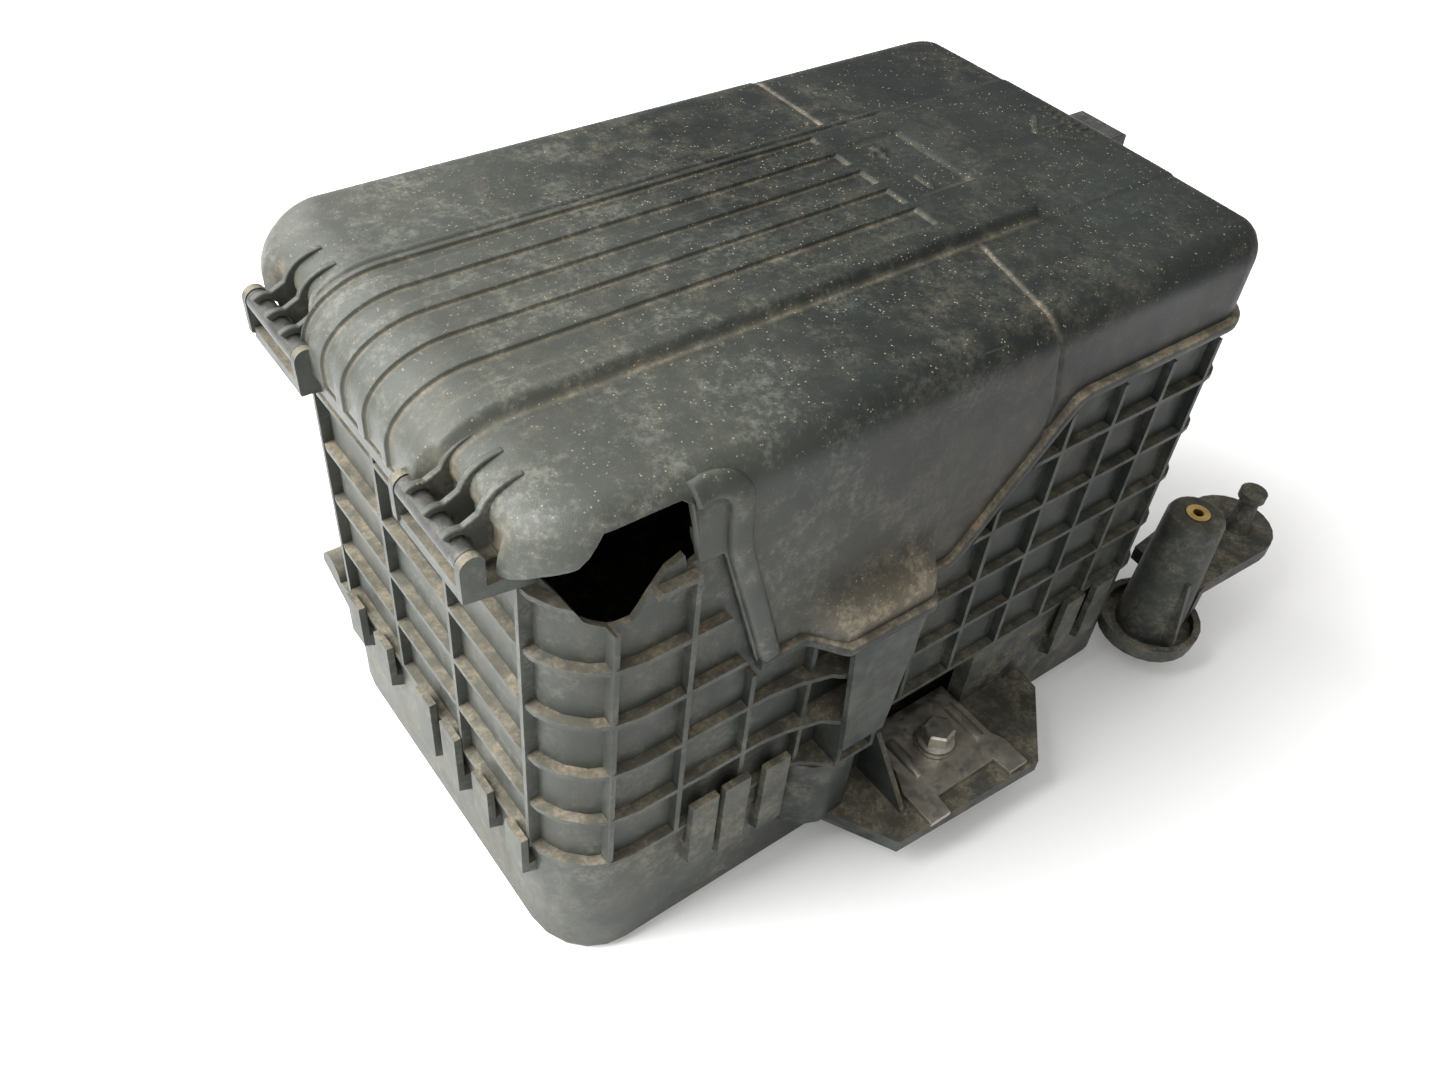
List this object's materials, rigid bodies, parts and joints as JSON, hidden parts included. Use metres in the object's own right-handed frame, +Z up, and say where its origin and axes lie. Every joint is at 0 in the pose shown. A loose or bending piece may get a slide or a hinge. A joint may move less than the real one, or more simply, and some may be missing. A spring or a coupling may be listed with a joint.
{
  "type": "car battery box",
  "caption": "Car battery box: floor tray with a bolted battery clamp and an insert boss, a ribbed surround, and a hinged lid held by a spring latch.",
  "frame": {"origin": "middle of the tray's flat underside", "axes": "+X along the box from the hinge end to the latch end; -Y is the long side with the clamp foot; +Z up"},
  "size_m": [0.4374, 0.251, 0.248],
  "materials": {
    "tray_plastic": "moulded, worn, dusty",
    "surround_plastic": "moulded, dust on the rib ledges",
    "lid_plastic": "fine grain, dusty in the grooves",
    "latch_plastic": "moulded",
    "hinge_bar_plastic": "moulded, rubbed smooth",
    "clamp_steel": "zinc plated pressed steel, stained",
    "bolt_steel": "zinc plated, dusty",
    "washer_steel": "zinc plated",
    "nut_steel": "zinc plated",
    "insert_brass": "machined"
  },
  "bodies": {
    "tray": {"tray": "tray_plastic", "clamp_plate": "clamp_steel", "clamp_bolt": "bolt_steel", "clamp_washer": "washer_steel", "clamp_nut": "nut_steel", "brass_insert": "insert_brass"},
    "surround": {"surround": "surround_plastic", "hinge_bar_near": "hinge_bar_plastic", "hinge_bar_far": "hinge_bar_plastic"},
    "lid": {"lid": "lid_plastic"},
    "latch": {"lid_latch": "latch_plastic"}
  },
  "joints": [
    {"name": "surround_lift", "type": "slide", "parent": "tray", "child": "surround", "axis": [0, 0, 1], "range_m": [0, 0.18]},
    {"name": "lid_hinge", "type": "hinge", "parent": "surround", "child": "lid", "pos_m": [-0.174, 0, 0.225], "axis": [0, -1, 0], "range_deg": [0, 105]},
    {"name": "latch_flex", "type": "hinge", "parent": "surround", "child": "latch", "pos_m": [0.163, 0, 0.155], "axis": [0, 1, 0], "range_deg": [0, 7], "stiffness_Nm_per_rad": 3}
  ]
}
